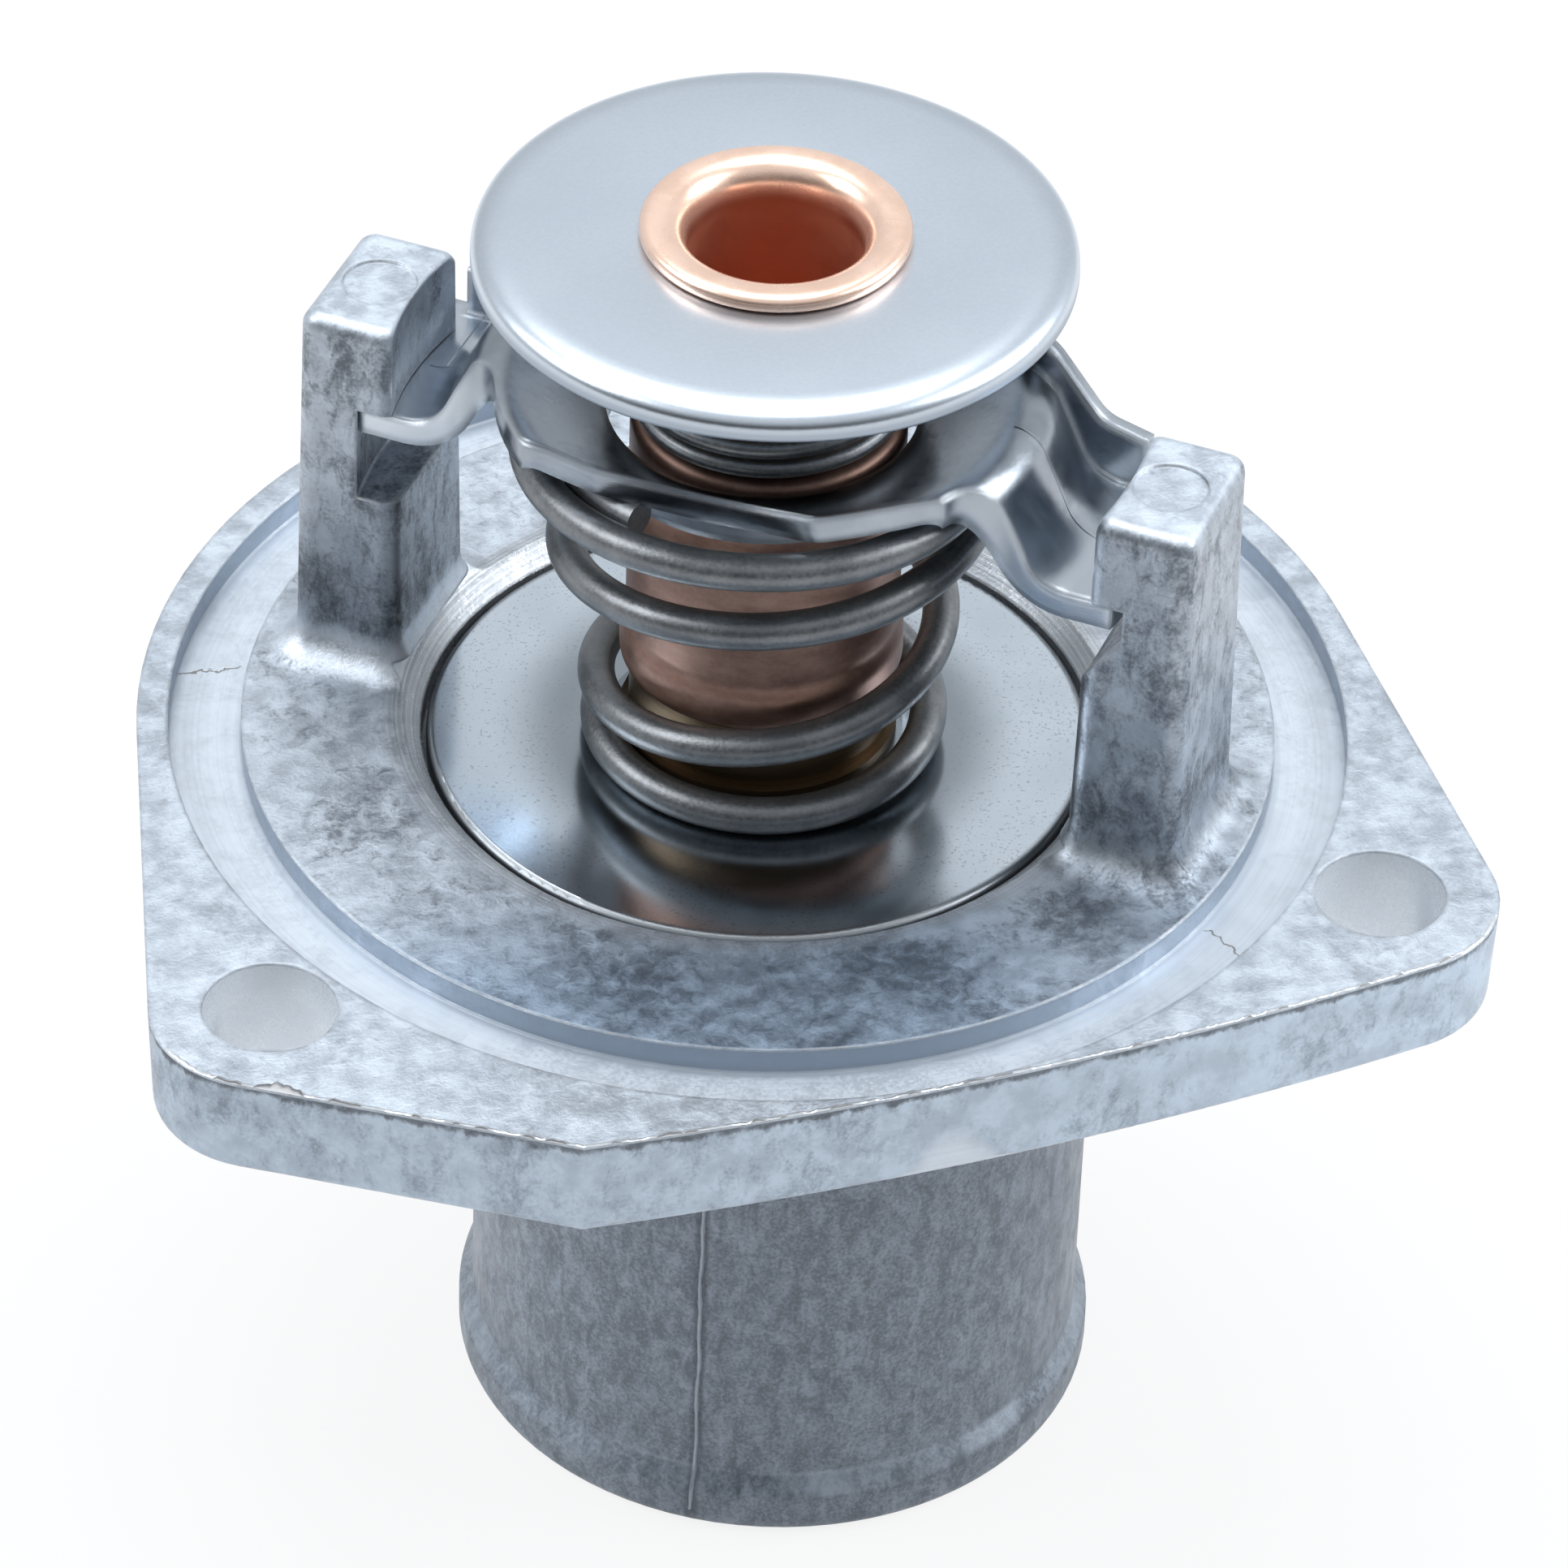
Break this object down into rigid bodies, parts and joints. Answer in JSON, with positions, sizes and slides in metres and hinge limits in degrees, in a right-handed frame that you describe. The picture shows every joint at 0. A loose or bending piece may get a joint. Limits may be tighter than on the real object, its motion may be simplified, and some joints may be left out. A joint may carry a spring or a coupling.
{
  "type": "engine thermostat",
  "caption": "Cast cover with hose neck and two hooked posts, holding a stamped bridge, a sprung wax element, a main valve and a bypass valve.",
  "frame": {"origin": "centre of the seal groove at the flange's mating face, on the valve axis", "axes": "+Z along the valve axis from the flange to the bypass disc, +X along the line of the two bolt holes, hose neck towards -Z"},
  "size_m": [0.0858, 0.08, 0.0912],
  "materials": {
    "cast_metal": "rough die cast, mottled",
    "stamped_steel": "polished with dull cut edges",
    "spring_steel": "dull grey wire",
    "polished_pin": "polished",
    "bright_steel": "mirror bright",
    "brass": "turned",
    "copper": "satin copper",
    "white_plastic": "plain",
    "rubber": "moulded",
    "wax": "waxy",
    "satin_steel": "satin with a burnished rim"
  },
  "bodies": {
    "cover": {"housing": "cast_metal", "bridge": "stamped_steel", "main_spring": "spring_steel", "piston": "polished_pin"},
    "element": {"main_valve": "bright_steel", "guide": "brass", "retaining_ring": "bright_steel", "wax_cup": "copper", "chafe_ring": "white_plastic", "boot": "rubber", "wax": "wax", "bypass_spring": "spring_steel"},
    "bypass": {"bypass_disc": "satin_steel"}
  },
  "joints": [
    {"name": "valve_lift", "type": "slide", "parent": "cover", "child": "element", "axis": [0, 0, 1], "range_m": [0, 0.008], "stiffness_N_per_m": 4000, "springref_m": -0.008, "deforming": ["main_spring"]},
    {"name": "bypass_slide", "type": "slide", "parent": "element", "child": "bypass", "axis": [0, 0, -1], "range_m": [0, 0.003], "stiffness_N_per_m": 1000, "springref_m": -0.006, "deforming": ["bypass_spring"]}
  ]
}
